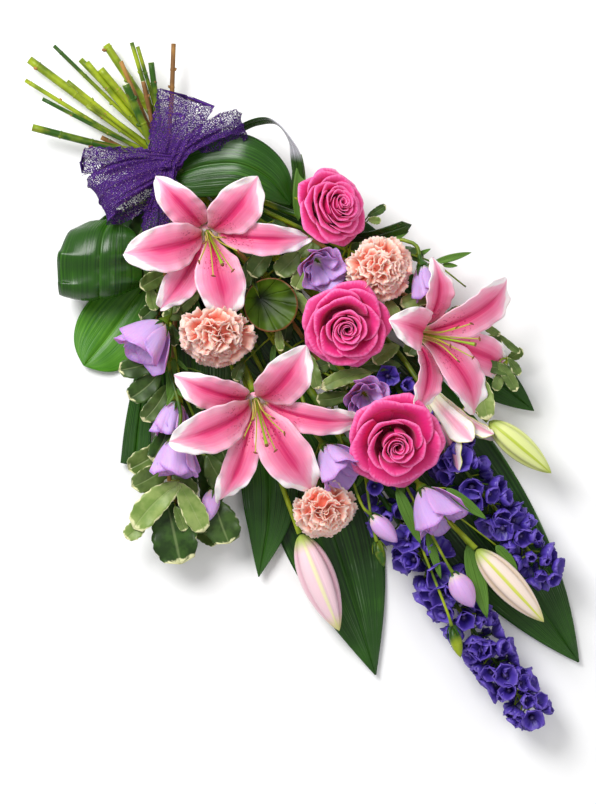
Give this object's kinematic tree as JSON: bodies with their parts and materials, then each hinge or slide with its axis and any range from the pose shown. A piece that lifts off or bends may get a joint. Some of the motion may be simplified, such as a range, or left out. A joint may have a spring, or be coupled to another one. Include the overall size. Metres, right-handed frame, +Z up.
{
  "type": "flower sheaf",
  "caption": "Tied sheaf of mixed cut flowers and large leaves that lies on its back, bound at the stems with a ribbon.",
  "frame": {"origin": "on the surface that the sheaf lies on, under the middle of its bounding box", "axes": "+Y along the sheaf towards the cut stem ends, +X across it, +Z up from the surface"},
  "size_m": [0.446, 0.8482, 0.1433],
  "materials": {
    "lily_tepal": "satin, pink with white edges and darker freckles",
    "lily_bud": "satin, white to pink with green ribs",
    "green_bud": "satin, pale green",
    "stamen": "matt, pale green",
    "rose_petal": "velvety, hot pink",
    "carnation_petal": "matt, pale peach",
    "lisianthus_petal": "silky, lilac",
    "delphinium_floret": "matt, deep blue violet",
    "stem": "satin, green, some brown and woody",
    "dark_leaf": "glossy, dark green",
    "broad_leaf": "satin, mid green",
    "variegated_leaf": "satin, sage with cream margins",
    "ribbon": "open net, deep purple",
    "tie": "matt cord"
  },
  "bodies": {
    "root": {"rose_top_stem": "stem", "rose_top_petals": "rose_petal", "rose_middle_stem": "stem", "rose_middle_petals": "rose_petal", "rose_low_stem": "stem", "rose_low_petals": "rose_petal", "lily_top_stem": "stem", "lily_top_stamens": "stamen", "lily_top_tepals": "lily_tepal", "lily_low_stem": "stem", "lily_low_stamens": "stamen", "lily_low_tepals": "lily_tepal", "lily_side_stem": "stem", "lily_side_stamens": "stamen", "lily_side_tepals": "lily_tepal", "carnation_right_stem": "stem", "carnation_right_petals": "carnation_petal", "carnation_left_stem": "stem", "carnation_left_petals": "carnation_petal", "carnation_low_stem": "stem", "carnation_low_petals": "carnation_petal", "delphinium_short_stem": "stem", "delphinium_short_florets": "delphinium_floret", "delphinium_long_stem": "stem", "delphinium_long_florets": "delphinium_floret", "lisianthus_left_stems": "stem", "lisianthus_middle_stems": "stem", "lisianthus_low_stems": "stem", "lisianthus_right_stems": "stem", "lisianthus_a": "lisianthus_petal", "lisianthus_b": "lisianthus_petal", "lisianthus_c": "lisianthus_petal", "lisianthus_d": "lisianthus_petal", "lisianthus_e": "lisianthus_petal", "lisianthus_g": "lisianthus_petal", "lisianthus_h": "lisianthus_petal", "lisianthus_i": "lisianthus_petal", "half_open_lily": "lily_bud", "lily_green_bud": "green_bud", "lily_cream_bud": "lily_bud", "lily_pink_bud": "lily_bud", "tie": "tie", "ribbon": "ribbon", "back_leaf_left": "dark_leaf", "back_leaf_middle": "dark_leaf", "back_leaf_right": "dark_leaf", "long_leaf": "dark_leaf", "middle_leaf": "dark_leaf", "narrow_leaf": "dark_leaf", "side_leaf": "dark_leaf", "cut_leaf": "dark_leaf", "rolled_leaf": "dark_leaf", "arched_leaf": "dark_leaf", "looped_leaf": "dark_leaf", "round_leaf": "broad_leaf", "galax_leaf": "broad_leaf", "pittosporum_left": "variegated_leaf", "pittosporum_centre": "variegated_leaf", "pittosporum_right": "variegated_leaf", "pittosporum_top": "variegated_leaf"}
  },
  "joints": []
}
